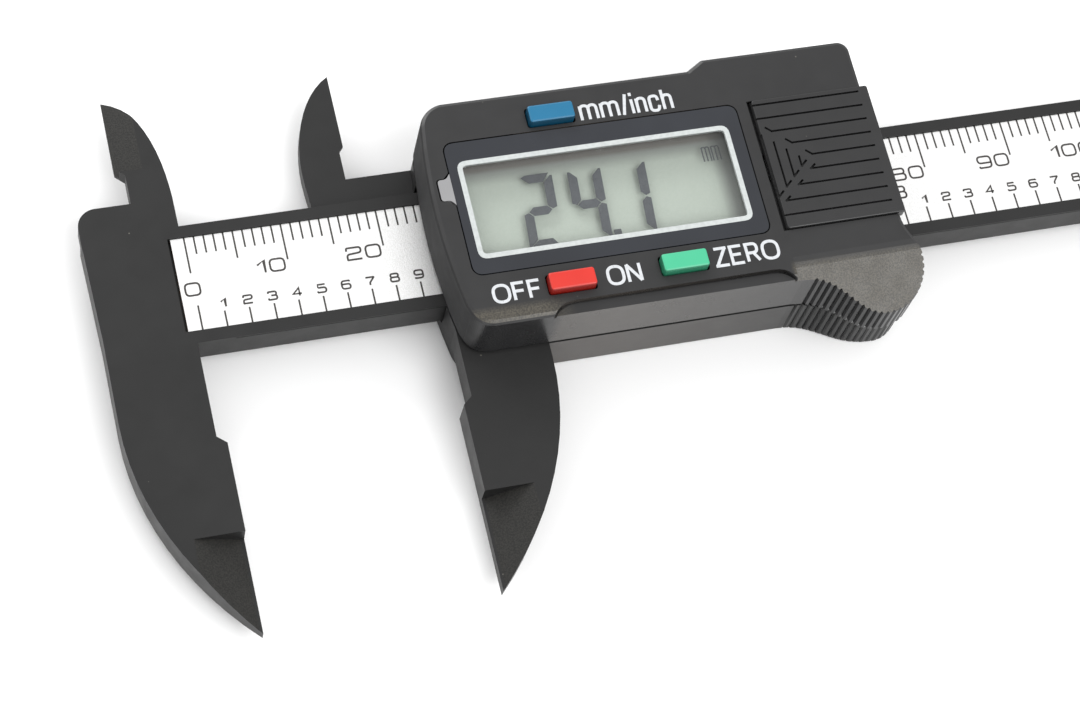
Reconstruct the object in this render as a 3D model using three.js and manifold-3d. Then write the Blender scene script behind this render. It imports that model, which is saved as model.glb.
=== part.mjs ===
// Digital caliper, 150 mm, in a glass-filled plastic: a beam with the fixed jaws and a printed scale,
// a slider with the moving jaws, display and battery, three buttons and a sliding battery door.
//
// Millimetres. X runs along the beam and is 0 at the fixed outside measuring face, Y points to the
// inside jaws and is 0 on the beam's centreline, Z is 0 at the beam's front face and points out of
// the display. The exported group shifts all of it, so that the origin is under the middle.
import * as THREE from 'three';
import { mergeVertices } from 'three/addons/utils/BufferGeometryUtils.js';
import Module from 'manifold-3d';

const wasm = await Module();
wasm.setup();

// ---------------------------------------------------------------- driving dimensions

const reading = 24.1; // how far the jaws stand open
const faceGap = 0.03; // what is left between the outside jaws when the slider is closed
const slack = 0.05; // between pieces that lie on each other
const runningGap = 0.2; // between pieces that slide on each other

const beam = { half: 6.55, back: -3.8, end: 212, left: -10.5 };
const label = { left: -1.6, right: beam.end - 2.5, low: -5.15, high: 5.2, thick: 0.2, sunk: 0.15 };
const stator = { thick: 0.5 };
const pocketMargin = 0.3; // between the label and the rim of its recess

const jaw = { width: 10.15, tip: -36.9, relief: 0.95, reliefEnd: -16.8, faceStart: -17.6 };
const knife = { start: -27, width: 5.1, front: -2.4, land: 0.3 };
const inside = { edge: -5.76, tip: 22.5, faceStart: 14, notch: 13.1, split: -1.9, relief: 0.95 };
const blockTopEdge = { y: 9.8, radius: 2 };
const arm = { low: 6.85, high: 10.2 };

const body = { left: 24.2, right: 72.4, low: -12.45, high: 12.8, raised: 13.9, front: 7.2, back: -6 };
const backPlate = 2;
const channel = { low: -beam.half - runningGap, high: 7.25 }; // the spring takes up the rest
const frontWall = 1.4;
const wall = 1.25;
const endBow = { depth: 1.1, middle: 1.2, half: 11.8, fades: 40 }; // of the slider's left end
const seam = 0.45; // between the rims of the frame and the housing
const bay = { right: 58.4 };
const facet = { left: 59.6, right: 73.6, leftStart: -10.7, rightStart: -10.6, tilt: 25, round: 4 };
const thumbStart = 60.3;
const housingThumb = { bulge: 69, end: -16.7, side: 74, firstRib: 1.5 };
const frameThumb = { bulge: 70.3, end: -15.6, side: 73.8, firstRib: 0.8 };
const rib = { cut: 0.3, pitch: 0.7 };
const lowerEdge = 0.4; // radius along the frame's back edge
const ledge = { left: 33.65, right: 59.7, width: 1.3, depth: 0.45, grooveWidth: 0.25, grooveDepth: 0.4 };

const lens = { left: 26.6, right: 58.2, low: -6.95, high: 8.1, thick: 0.9, radius: 1.1 };
const lensTab = { left: 25.15, low: 1.65, high: 4.1, flare: 0.6 };
const windowCut = { left: 27.7, right: 56.9, low: -5.7, high: 6.5 };
const lcd = { left: 27, right: 57.6, low: -6.4, high: 7.2, thick: 1.7 };
const board = { left: 29.5, right: 58, low: -10.9, high: 11.2, bottom: 0.35, thick: 1 };

const button = { width: 4.85, depth: 1.95, proud: 1, travel: 0.6, flange: 0.45, clearance: 0.15 };
const buttonPlaces = {
  unit: [38.45, 9.68],
  power: [36.2, -9.18],
  zero: [48.15, -8.98],
};

const cell = { x: 65.75, y: 0.6, radius: 5.8, bottom: 0.95, thick: 5.4, gasket: 1.1 };
const door = { left: 59.6, right: 72.9, low: -6.95, high: 8.1, proud: 0.3, flange: 0.35, lip: 0.6 };
const doorGap = 0.35; // left of the door, where a finger nail gets hold
const doorGroove = { rows: 9, top: 7.5, pitch: 1.62, width: 0.22, depth: 0.45, end: 71.7 };

const rod = { half: 1, low: -3.55, high: -2.55, start: 66, groove: 1.25 };
const endPlate = { left: 204, right: 211.8, half: 6.3, back: -5 };

const screw = { head: 1.45, headHeight: 0.9, shank: 0.7, hole: 0.95, headHole: 1.7 };
const flatScrew = { headHeight: 0.45, sunk: 0.6 }; // a low head in a thin plate
const housingScrews = [[27.6, 10.4], [27.6, -10.2], [61.2, 10.6], [69.4, -11.6]];
const boardScrews = [[31.2, 10.1], [54.6, 10.1], [31.2, -9.6], [54.6, -9.6]];
const endScrews = [[208, 4], [208, -4]];
const rodScrew = [68, 0];

// ---------------------------------------------------------------- colours

const blackPlastic = { color: 0x262626, roughness: 0.5, metalness: 0 };
const steel = { color: 0xb8bcc0, roughness: 0.3, metalness: 1 };
const springMetal = { color: 0xc9b27a, roughness: 0.35, metalness: 1 };
const boardGreen = { color: 0x1f5f3a, roughness: 0.55, metalness: 0 };

// ---------------------------------------------------------------- solids

function toSolid(geometry) {
  const bare = geometry.clone();
  bare.deleteAttribute('normal');
  bare.deleteAttribute('uv');
  const merged = mergeVertices(bare, 1e-4);
  return new wasm.Manifold(new wasm.Mesh({
    numProp: 3,
    vertProperties: new Float32Array(merged.attributes.position.array),
    triVerts: new Uint32Array(merged.index.array),
  }));
}

function toGeometry(solid) {
  const mesh = solid.getMesh();
  const geometry = new THREE.BufferGeometry();
  geometry.setAttribute('position', new THREE.BufferAttribute(mesh.vertProperties, 3));
  geometry.setIndex(new THREE.BufferAttribute(mesh.triVerts, 1));
  geometry.computeVertexNormals();
  return geometry;
}

function box(x0, x1, y0, y1, z0, z1) {
  const geometry = new THREE.BoxGeometry(x1 - x0, y1 - y0, z1 - z0);
  geometry.translate((x0 + x1) / 2, (y0 + y1) / 2, (z0 + z1) / 2);
  return toSolid(geometry);
}

function pin([x, y], radius, z0, z1, sides = 12) {
  const geometry = new THREE.CylinderGeometry(radius, radius, z1 - z0, sides);
  geometry.rotateX(Math.PI / 2);
  geometry.translate(x, y, (z0 + z1) / 2);
  return toSolid(geometry);
}

// A flat outline between two heights.
function slab(shape, z0, z1, curveSegments = 12) {
  const geometry = new THREE.ExtrudeGeometry(shape, { depth: z1 - z0, bevelEnabled: false, curveSegments });
  geometry.translate(0, 0, z0);
  return toSolid(geometry);
}

// A slab whose upper and lower edges are rounded inwards.
function softSlab(shape, z0, z1, round, curveSegments = 12) {
  return toSolid(softSlabGeometry(shape, z0, z1, round, curveSegments));
}

function softSlabGeometry(shape, z0, z1, round, curveSegments) {
  const geometry = new THREE.ExtrudeGeometry(shape, {
    depth: z1 - z0 - 2 * round,
    bevelSize: round,
    bevelThickness: round,
    bevelOffset: -round,
    bevelSegments: 2,
    curveSegments,
  });
  geometry.translate(0, 0, z0 + round);
  return geometry;
}

// Bows the slider's left end, so that its corners lie further right than its middle.
function bowLeftEnd(geometry) {
  const position = geometry.attributes.position;
  for (let i = 0; i < position.count; i += 1) {
    const nearness = (endBow.fades - position.getX(i)) / (endBow.fades - body.left);
    const outwards = Math.min(((position.getY(i) - endBow.middle) / endBow.half) ** 2, 1);
    position.setX(i, position.getX(i) + endBow.depth * Math.max(nearness, 0) * outwards);
  }
  return geometry;
}

// A section of [x, z] points along Y.
function prismAlongY(section, y0, y1) {
  const shape = new THREE.Shape(section.map(([x, z]) => new THREE.Vector2(x, z)));
  const geometry = new THREE.ExtrudeGeometry(shape, { depth: y1 - y0, bevelEnabled: false });
  geometry.rotateX(Math.PI / 2);
  geometry.translate(0, y1, 0);
  return toSolid(geometry);
}

// A closed outline of [x, y, radius] corners, each rounded by a true arc. The radius may be left out.
function roundedOutline(corners) {
  const shape = new THREE.Shape();
  corners.forEach(([x, y, radius = 0], i) => {
    const corner = new THREE.Vector2(x, y);
    const before = new THREE.Vector2(...corners.at(i - 1)).sub(corner).normalize();
    const after = new THREE.Vector2(...corners[(i + 1) % corners.length]).sub(corner).normalize();
    const halfAngle = Math.acos(before.dot(after)) / 2;
    const start = corner.clone().addScaledVector(before, radius / Math.tan(halfAngle));
    if (i === 0) shape.moveTo(start.x, start.y);
    else shape.lineTo(start.x, start.y);
    if (radius === 0) return;
    const end = corner.clone().addScaledVector(after, radius / Math.tan(halfAngle));
    const middle = before.clone().add(after).normalize();
    const centre = corner.clone().addScaledVector(middle, radius / Math.sin(halfAngle));
    const turnsRight = before.cross(after) > 0;
    shape.absarc(centre.x, centre.y, radius, start.clone().sub(centre).angle(),
      end.clone().sub(centre).angle(), turnsRight);
  });
  shape.closePath();
  return shape;
}

function roundedRectangle(x0, x1, y0, y1, radius) {
  return roundedOutline([[x0, y0, radius], [x1, y0, radius], [x1, y1, radius], [x0, y1, radius]]);
}

function union(...solids) {
  return solids.reduce((sum, solid) => sum.add(solid));
}

// ---------------------------------------------------------------- jaws

// The outside jaw in plan, for a measuring face at x = face. side is 1 where the jaw lies on the
// +X side of its face and -1 where it lies on the -X side. root is the height where it starts.
function outsideJawOutline(face, side, root) {
  const x = (offset) => face + side * offset;
  const shape = new THREE.Shape();
  shape.moveTo(x(jaw.relief), root);
  shape.lineTo(x(jaw.relief), jaw.reliefEnd);
  shape.lineTo(face, jaw.faceStart);
  shape.lineTo(face, jaw.tip);
  shape.bezierCurveTo(x(6.2), -30.8, x(jaw.width), -22.5, x(jaw.width), -14);
  shape.lineTo(x(jaw.width), root);
  shape.closePath();
  return shape;
}

// What thins the outside jaw's tip to a blade: a slope from the full thickness down to the land
// along the measuring face.
function knifeCut(face, side) {
  const x = (offset) => face + side * offset;
  const section = [[x(-1), knife.front], [x(knife.land), knife.front], [x(knife.width), 0],
    [x(knife.width), 1], [x(-1), 1]];
  return prismAlongY(side > 0 ? section : section.reverse(), jaw.tip - 1, knife.start);
}

function fixedInsideJawOutline() {
  const right = -0.5;
  const shape = new THREE.Shape();
  shape.moveTo(right, 0);
  shape.lineTo(right, 8.5);
  shape.bezierCurveTo(right, 14, -1.6, 20, inside.edge, inside.tip);
  shape.lineTo(inside.edge, inside.faceStart);
  shape.lineTo(inside.edge + inside.relief, inside.notch);
  shape.lineTo(inside.edge + inside.relief, 0);
  shape.closePath();
  return shape;
}

function movingInsideJawOutline() {
  const edge = inside.edge + reading;
  const left = 13.5;
  const shape = new THREE.Shape();
  shape.moveTo(body.left, arm.low);
  shape.lineTo(body.left, arm.high);
  shape.lineTo(edge - 0.5, arm.high);
  shape.lineTo(edge - 0.5, inside.notch + 0.4);
  shape.lineTo(edge, inside.faceStart);
  shape.lineTo(edge, inside.tip);
  shape.bezierCurveTo(15, 20.6, left - 0.35, 15, left, 10);
  shape.lineTo(left + 0.2, arm.low);
  shape.closePath();
  return shape;
}

// ---------------------------------------------------------------- beam and what it carries

function mainBeam() {
  const plank = slab(roundedOutline([
    [beam.left + 0.4, -beam.half], [beam.end, -beam.half, 0.8], [beam.end, beam.half, 0.8],
    [beam.left, beam.half]]), beam.back, 0, 4);
  const blockTop = slab(roundedOutline([
    [beam.left, beam.half - 1], [inside.edge + 2, beam.half - 1], [inside.edge + 2, blockTopEdge.y],
    [beam.left, blockTopEdge.y, blockTopEdge.radius]]), inside.split, 0);
  const insideJaw = slab(fixedInsideJawOutline(), inside.split, 0);
  const insideKnife = prismAlongY([
    [inside.edge - 1, inside.split + knife.land], [inside.edge, inside.split + knife.land],
    [inside.edge + 2.8, 0], [inside.edge + 2.8, 1], [inside.edge - 1, 1]], 13.6, inside.tip + 1);
  const outsideJaw = slab(outsideJawOutline(0, -1, 0), beam.back, 0);
  const outline = union(plank, blockTop, insideJaw, outsideJaw);
  const recess = box(label.left - pocketMargin, label.right + pocketMargin, label.low - 0.05,
    label.high + 0.05, -label.sunk - label.thick - stator.thick - 2 * slack, 1);
  const rodGroove = box(rod.start - reading - 1, beam.end + 1, -rod.groove, rod.groove,
    beam.back - 1, rod.high + 0.25);
  let solid = outline.subtract(recess).subtract(rodGroove).subtract(insideKnife)
    .subtract(knifeCut(0, -1));
  for (const place of endScrews) {
    solid = solid.subtract(pin(place, screw.hole, beam.back - 1, -1.6));
  }
  return solid;
}

function scaleLabel() {
  return box(label.left, label.right, label.low, label.high, -label.sunk - label.thick, -label.sunk);
}

function statorStrip() {
  const top = -label.sunk - label.thick - slack;
  return box(label.left, label.right, label.low, label.high, top - stator.thick, top);
}

function endPlatePiece() {
  let solid = slab(roundedRectangle(endPlate.left, endPlate.right, -endPlate.half, endPlate.half, 1),
    endPlate.back, beam.back - slack, 5);
  for (const place of endScrews) {
    solid = solid.subtract(pin(place, screw.hole, endPlate.back - 1, 0));
    solid = solid.subtract(pin(place, screw.headHole, endPlate.back - 1, endPlate.back + flatScrew.sunk));
  }
  return solid;
}

// ---------------------------------------------------------------- slider

// The slider in plan: a long box with a raised back edge over the battery and a thumb rest that
// swells out of its lower right corner.
function bodyOutline(lowerLeftRadius, upperLeftRadius, thumb) {
  const shape = new THREE.Shape();
  const { left, right, low, high, raised } = body;
  shape.moveTo(left + lowerLeftRadius, low);
  shape.lineTo(thumbStart, low);
  for (const curve of thumbCurves(thumb)) {
    shape.bezierCurveTo(curve.v1.x, curve.v1.y, curve.v2.x, curve.v2.y, curve.v3.x, curve.v3.y);
  }
  shape.bezierCurveTo(73.5, -10, right, -9, right, -7.2);
  shape.lineTo(right, raised - 1.3);
  shape.absarc(right - 1.3, raised - 1.3, 1.3, 0, Math.PI / 2, false);
  shape.lineTo(56, raised);
  shape.lineTo(54.2, high);
  shape.lineTo(left + upperLeftRadius, high);
  shape.absarc(left + upperLeftRadius, high - upperLeftRadius, upperLeftRadius, 0.5 * Math.PI, Math.PI);
  const wallSteps = 8;
  for (let step = 1; step <= wallSteps; step += 1) {
    const share = step / wallSteps;
    shape.lineTo(left, (high - upperLeftRadius) * (1 - share) + (low + lowerLeftRadius) * share);
  }
  shape.absarc(left + lowerLeftRadius, low + lowerLeftRadius, lowerLeftRadius, Math.PI, 1.5 * Math.PI);
  return shape;
}

// The thumb rest's edge: out of the front wall to its furthest point, and back up its right side.
function thumbCurves({ bulge, end, side }) {
  const furthest = new THREE.Vector2(bulge, end);
  return [
    new THREE.CubicBezierCurve(new THREE.Vector2(thumbStart, body.low), new THREE.Vector2(64.6, body.low),
      new THREE.Vector2(65.7, end), furthest),
    new THREE.CubicBezierCurve(furthest, new THREE.Vector2(71.8, end),
      new THREE.Vector2(side, -14.4), new THREE.Vector2(facet.right, -11.6)),
  ];
}

// The grooves between the thumb rest's ribs: upright vees at an even pitch along its edge.
function ribCuts(thumb, z0, z1) {
  const edge = new THREE.CurvePath();
  thumbCurves(thumb).forEach((curve) => edge.add(curve));
  const length = edge.getLength();
  const cuts = [];
  for (let along = thumb.firstRib; along < length; along += rib.pitch) {
    const at = edge.getPointAt(along / length);
    const tangent = edge.getTangentAt(along / length);
    const cutter = new THREE.BoxGeometry(rib.cut, rib.cut, z1 - z0);
    cutter.rotateZ(tangent.angle() + Math.PI / 4);
    cutter.translate(at.x, at.y, (z0 + z1) / 2);
    cuts.push(toSolid(cutter));
  }
  return union(...cuts);
}

// What the slope of the thumb rest takes off the housing: a few planes that round its upper edge,
// the last of which is the slope itself.
function thumbSlope() {
  const turn = Math.atan2(facet.rightStart - facet.leftStart, facet.right - facet.left);
  const reach = facet.round * Math.tan(THREE.MathUtils.degToRad(facet.tilt / 2));
  const cuts = [1, 2, 3].map((step) => {
    const tilt = THREE.MathUtils.degToRad(facet.tilt * step / 3);
    const cutter = new THREE.BoxGeometry(20, 20, 10);
    cutter.translate(10, 0, 5);
    cutter.rotateX(tilt);
    cutter.translate(0, reach - facet.round * Math.sin(tilt), facet.round * (Math.cos(tilt) - 1));
    cutter.rotateZ(turn);
    cutter.translate(facet.left, facet.leftStart, body.front);
    return toSolid(cutter);
  });
  return union(...cuts);
}

function sliderFrame() {
  const plate = softSlabGeometry(bodyOutline(2.6, 3, frameThumb), body.back, lowerEdge, lowerEdge, 10);
  const shell = toSolid(bowLeftEnd(plate))
    .subtract(box(body.left - 5, body.right + 5, housingThumb.end - 5, body.raised + 5, 0, lowerEdge + 1));
  const outsideJaw = slab(outsideJawOutline(reading + faceGap, 1, -9), beam.back, 0);
  const insideJaw = slab(movingInsideJawOutline(), beam.back, inside.split - 0.1);
  const armRoot = box(body.left, body.left + 2, arm.low + 0.4, arm.high, beam.back, inside.split - 0.1);
  const insideEdge = inside.edge + reading;
  const insideKnife = prismAlongY([
    [insideEdge + 1, inside.split - 0.1 - knife.land], [insideEdge + 1, beam.back - 1],
    [insideEdge - 2.8, beam.back - 1], [insideEdge - 2.8, beam.back],
    [insideEdge, inside.split - 0.1 - knife.land]].reverse(), 13.6, inside.tip + 1);
  const beamChannel = box(body.left - 1, body.right + 4, channel.low, channel.high,
    body.back + backPlate, 1);
  const boardPockets = union(
    box(bayLeft(), bay.right, channel.high + 0.8, body.high - wall - 0.2, -1.2, 1),
    box(bayLeft(), bay.right, body.low + wall + 0.2, channel.low - 0.8, -1.2, 1));
  let solid = union(shell, outsideJaw, insideJaw, armRoot)
    .subtract(beamChannel)
    .subtract(boardPockets)
    .subtract(insideKnife)
    .subtract(knifeCut(reading + faceGap, 1))
    .subtract(ribCuts(frameThumb, body.back - 1, 1));
  for (const place of housingScrews) {
    solid = solid.subtract(pin(place, screw.hole, body.back - 1, 1));
    solid = solid.subtract(pin(place, screw.headHole, body.back - 1, body.back + 1.6));
  }
  solid = solid.subtract(pin(rodScrew, 0.8, body.back - 1, 0));
  return solid.subtract(pin(rodScrew, screw.headHole, body.back - 1, body.back + flatScrew.sunk));
}

function bayLeft() {
  return body.left + endBow.depth / 2 + wall;
}

function displayHousing() {
  const round = 0.45;
  const bossRadius = 1.55;
  const shell = softSlabGeometry(bodyOutline(2.6, 2.5, housingThumb), slack - round, body.front, round, 10);
  const outer = toSolid(bowLeftEnd(shell))
    .subtract(box(body.left - 5, body.right + 5, housingThumb.end - 5, body.raised + 5, -5, seam));
  const electronicsBay = box(bayLeft(), bay.right, body.low + wall, body.high - wall, -1,
    body.front - frontWall);
  const bosses = union(
    ...boardScrews.map((place) => pin(place, 1.1, board.bottom + board.thick + slack, body.front - 1)),
    ...housingScrews.slice(0, 2).map((place) => pin(place, bossRadius, slack, body.front - 1)),
    ...housingScrews.slice(2).map((place) => pin(place, bossRadius, slack, 1)));
  const lensSeat = slab(lensOutline(0.08), body.front - lens.thick - slack, body.front + 1);
  const lensWindow = box(windowCut.left, windowCut.right, windowCut.low, windowCut.high,
    body.front - frontWall - 1, body.front);
  const cellPocket = pin([cell.x, cell.y], cell.radius + 0.3, cell.bottom - 0.2, body.front + 1, 40);
  const contactSlots = union(
    box(bay.right - 0.5, 60, -0.9, 2.1, 1.2, cell.bottom + cell.thick - 0.3),
    box(bay.right - 0.5, 61.5, -4.2, -2.2, cell.bottom - 0.2, 1.9));
  const doorCut = union(
    box(door.left - 0.1, body.right + 5, door.low - 0.1, door.high + 0.1, doorFloor(), body.front + 1),
    box(door.left - 0.1, body.right + 5, door.low - door.lip - 0.1, door.high + door.lip + 0.1,
      doorFloor(), doorFloor() + door.flange + 0.1));
  let solid = union(outer.subtract(thumbSlope()).subtract(ledgeCut()).subtract(electronicsBay), bosses)
    .subtract(lensSeat)
    .subtract(lensWindow)
    .subtract(cellPocket)
    .subtract(contactSlots)
    .subtract(doorCut)
    .subtract(ribCuts(housingThumb, -1, body.front + 1));
  for (const [x, y] of Object.values(buttonPlaces)) {
    const halfWidth = button.width / 2 + button.clearance;
    const halfDepth = button.depth / 2 + button.clearance;
    solid = solid.subtract(slab(roundedRectangle(x - halfWidth, x + halfWidth, y - halfDepth,
      y + halfDepth, 0.3), body.front - frontWall - 1, body.front + 1, 4));
  }
  for (const place of boardScrews) solid = solid.subtract(pin(place, 0.6, 0, 4.2, 12));
  for (const place of housingScrews) solid = solid.subtract(pin(place, screw.hole, -1, 4.8));
  return solid;
}

function doorFloor() {
  return body.front - 0.8;
}

// The lowered strip along the front wall, with a narrow groove along its inner edge.
function ledgeCut() {
  const strip = slab(ledgeOutline(0), body.front - ledge.depth, body.front + 1, 6);
  const groove = slab(ledgeOutline(0), body.front - ledge.depth - ledge.grooveDepth, body.front, 6)
    .subtract(slab(ledgeOutline(ledge.grooveWidth), 0, body.front + 1, 6));
  return strip.add(groove);
}

// The strip in plan, with a curve at both ends, drawn in from its inner edge by margin.
function ledgeOutline(margin) {
  const inner = body.low + ledge.width - margin;
  const [left, right] = [ledge.left + margin, ledge.right - margin];
  const shape = new THREE.Shape();
  shape.moveTo(left, body.low - 2);
  shape.lineTo(right, body.low - 2);
  shape.lineTo(right, body.low - 0.1);
  shape.bezierCurveTo(right - 0.6, body.low + 0.6, right - 1, inner, right - 2.4, inner);
  shape.lineTo(left + 2.6, inner);
  shape.bezierCurveTo(left + 1.2, inner, left + 0.5, body.low + 0.6, left, body.low - 0.1);
  shape.closePath();
  return shape;
}

// The lens with its moulding tab on the left edge, grown all round by margin.
function lensOutline(margin) {
  const [left, right, low, high] = [
    lens.left - margin, lens.right + margin, lens.low - margin, lens.high + margin];
  const [tabLeft, tabLow, tabHigh] = [
    lensTab.left - margin, lensTab.low - margin, lensTab.high + margin];
  return roundedOutline([
    [left, low, lens.radius], [right, low, lens.radius],
    [right, high, lens.radius], [left, high, lens.radius],
    [left, tabHigh + lensTab.flare], [left - lensTab.flare, tabHigh, 0.3], [tabLeft, tabHigh, 0.4],
    [tabLeft, tabLow, 0.4], [left - lensTab.flare, tabLow, 0.3], [left, tabLow - lensTab.flare]]);
}

function displayLens() {
  return slab(lensOutline(-0.02), body.front - lens.thick, body.front - 0.02, 6);
}

function lcdTop() {
  return body.front - frontWall - slack;
}

function lcdPanel() {
  return box(lcd.left, lcd.right, lcd.low, lcd.high, lcdTop() - lcd.thick, lcdTop());
}

function lcdConnector() {
  const boardTop = board.bottom + board.thick;
  return box(29.6, 56, -6.2, -4.6, boardTop + slack, lcdTop() - lcd.thick - slack);
}

function circuitBoard() {
  let solid = box(board.left, board.right, board.low, board.high, board.bottom, board.bottom + board.thick);
  for (const place of boardScrews) {
    solid = solid.subtract(pin(place, screw.hole - 0.2, 0, 2, 12));
  }
  return solid;
}

function controlChip() {
  const radius = 3;
  const height = 1.1;
  const profile = new THREE.SplineCurve([
    new THREE.Vector2(radius, 0), new THREE.Vector2(radius * 0.8, height * 0.6), new THREE.Vector2(0, height),
  ]).getPoints(5);
  const geometry = new THREE.LatheGeometry([new THREE.Vector2(0, 0), ...profile], 20);
  geometry.rotateX(Math.PI / 2);
  geometry.translate(42, 1.2, board.bottom + board.thick + slack);
  return toSolid(geometry);
}

// The pressed metal dome under one button.
function contactDome([x, y]) {
  const outerRadius = 1.5;
  const thick = 0.12;
  const rise = 0.55;
  const profile = [];
  const steps = 4;
  for (let i = 0; i <= steps; i += 1) {
    const r = outerRadius * (1 - i / steps);
    profile.push(new THREE.Vector2(r, thick + rise * (1 - (r / outerRadius) ** 2)));
  }
  for (let i = steps; i >= 0; i -= 1) {
    const r = outerRadius * (1 - i / steps);
    profile.push(new THREE.Vector2(r, rise * (1 - (r / outerRadius) ** 2)));
  }
  profile.push(profile[0].clone());
  const geometry = new THREE.LatheGeometry(profile, 12);
  geometry.rotateX(Math.PI / 2);
  geometry.translate(x, y, board.bottom + board.thick + slack);
  return toSolid(geometry);
}

function pushButton([x, y]) {
  const halfWidth = button.width / 2;
  const halfDepth = button.depth / 2;
  const capOutline = roundedRectangle(x - halfWidth, x + halfWidth, y - halfDepth, y + halfDepth, 0.3);
  const flangeTop = body.front - frontWall - slack;
  const cap = softSlab(capOutline, flangeTop - 0.3, body.front + button.proud, 0.2, 4);
  const flange = box(x - halfWidth - button.flange, x + halfWidth + button.flange,
    y - halfDepth - button.flange, y + halfDepth + button.flange, flangeTop - 0.7, flangeTop);
  const domeTop = board.bottom + board.thick + slack + 0.67;
  const stem = pin([x, y], 0.7, domeTop + slack + button.travel / 6, flangeTop - 0.5, 12);
  return union(cap, flange, stem);
}

function buttonCell() {
  const { radius, thick, gasket, bottom, x, y } = cell;
  const profile = [
    [0, 0], [radius - gasket, 0], [radius - gasket, 0.35], [radius - 0.4, 0.55], [radius, 1],
    [radius, thick - 0.3], [radius - 0.3, thick], [0, thick]].map(([r, z]) => new THREE.Vector2(r, z));
  const geometry = new THREE.LatheGeometry(profile, 32);
  geometry.rotateX(Math.PI / 2);
  geometry.translate(x, y, bottom);
  return toSolid(geometry);
}

function positiveContact() {
  const top = board.bottom + board.thick;
  const blade = box(59.2, 59.4, -0.6, 1.8, top + 0.1, 5.6);
  const foot = box(56.4, 59.4, -0.6, 1.8, top + 0.1, top + 0.3);
  return union(blade, foot);
}

function negativeContact() {
  const top = board.bottom + board.thick;
  const floor = cell.bottom - 0.15;
  const foot = box(56.4, 58.7, -3.9, -2.5, top + 0.1, top + 0.25);
  const drop = box(58.55, 58.7, -3.9, -2.5, floor, top + 0.25);
  const strip = box(58.55, 66.4, -3.9, -2.5, floor, floor + 0.12);
  return union(foot, drop, strip);
}

function slideSpring() {
  return box(28, 70, beam.half + 0.08, channel.high - 0.1, beam.back + 0.4, -0.4);
}

function depthRod() {
  const end = beam.end + reading;
  const blade = slab(roundedOutline([
    [rod.start, -rod.half, 0.3], [end - 1.5, -rod.half], [end, -rod.half + 0.6], [end, rod.half],
    [rod.start, rod.half, 0.3]]), rod.low, rod.high, 4);
  return blade.subtract(pin(rodScrew, 0.55, rod.low - 1, rod.high + 1, 12));
}

function batteryDoor() {
  const plateLow = doorFloor() + door.flange + slack;
  const left = door.left + doorGap;
  const top = body.front + door.proud;
  const outline = roundedRectangle(left, door.right, door.low, door.high, 0.25);
  const plate = softSlab(outline, plateLow - 0.6, top, 0.1, 3)
    .subtract(box(door.left - 1, door.right + 1, door.low - 1, door.high + 1, 0, doorFloor() + slack));
  const flange = box(left, body.right - 0.2, door.low - door.lip, door.high + door.lip,
    doorFloor() + slack, doorFloor() + door.flange);
  let solid = union(plate, flange);
  for (const line of doorGrooveLines()) {
    for (let i = 1; i < line.length; i += 1) {
      solid = solid.subtract(groove(line[i - 1], line[i], top));
    }
  }
  return solid;
}

// The door's grooves: long rows whose left ends step back and hook round an arrow head, and upright
// bars that fill the space in front of it.
function doorGrooveLines() {
  const { rows, top, pitch, end } = doorGroove;
  const lines = [];
  for (let row = 0; row < rows; row += 1) {
    const y = top - row * pitch;
    const fromTip = row < 5 ? 4 - row : row - 5;
    const hook = row < 5 ? [-0.55, 0.48] : [0.5, 0.4];
    if (fromTip > 2) {
      lines.push([[door.left, y], [end, y]]);
    } else {
      const start = (row < 5 ? 64.8 : 64.2) - 1.8 * fromTip;
      lines.push([[start + hook[0], y + hook[1]], [start, y], [end, y]]);
    }
  }
  for (let bar = 0; bar < 4; bar += 1) {
    const x = door.left + doorGap + 1.12 * bar;
    const low = -3.3 + 1.04 * bar;
    lines.push([[x, 3.95 - bar], [x, low], [x + 0.6, low + 0.55]]);
  }
  return lines;
}

// What one straight piece of groove takes out of the door, with both ends squared off.
function groove([x0, y0], [x1, y1], top) {
  const length = Math.hypot(x1 - x0, y1 - y0) + doorGroove.width;
  const cutter = new THREE.BoxGeometry(length, doorGroove.width, doorGroove.depth * 2);
  cutter.rotateZ(Math.atan2(y1 - y0, x1 - x0));
  cutter.translate((x0 + x1) / 2, (y0 + y1) / 2, top);
  return toSolid(cutter);
}

// A screw driven towards +Z, with a cross recess in its head.
function backScrew([x, y], size) {
  const { bottom, top, head, headHeight, shank } = { ...screw, ...size };
  const long = head * 0.65;
  const short = head * 0.16;
  const recessTop = bottom + headHeight * 0.4;
  const cross = union(
    box(x - long, x + long, y - short, y + short, bottom - 1, recessTop),
    box(x - short, x + short, y - long, y + long, bottom - 1, recessTop));
  return union(pin([x, y], head, bottom, bottom + headHeight, 16), pin([x, y], shank, bottom + 0.2, top, 8))
    .subtract(cross);
}

// ---------------------------------------------------------------- the assembly

const caliper = new THREE.Group();

function addPart(name, solid, look) {
  const mesh = new THREE.Mesh(toGeometry(solid), new THREE.MeshStandardMaterial(look));
  mesh.name = name;
  caliper.add(mesh);
}

addPart('main_beam', mainBeam(), blackPlastic);
addPart('stator_strip', statorStrip(), { color: 0xb08d4f, roughness: 0.5, metalness: 0.3 });
addPart('scale_label', scaleLabel(), { color: 0xd9dadb, roughness: 0.35, metalness: 0.2 });
addPart('beam_end_plate', endPlatePiece(), steel);
endScrews.forEach((place, i) => {
  addPart(`end_plate_screw_${i + 1}`, backScrew(place, {
    bottom: endPlate.back + 0.1, top: -1.9, headHeight: flatScrew.headHeight,
  }), steel);
});

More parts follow.
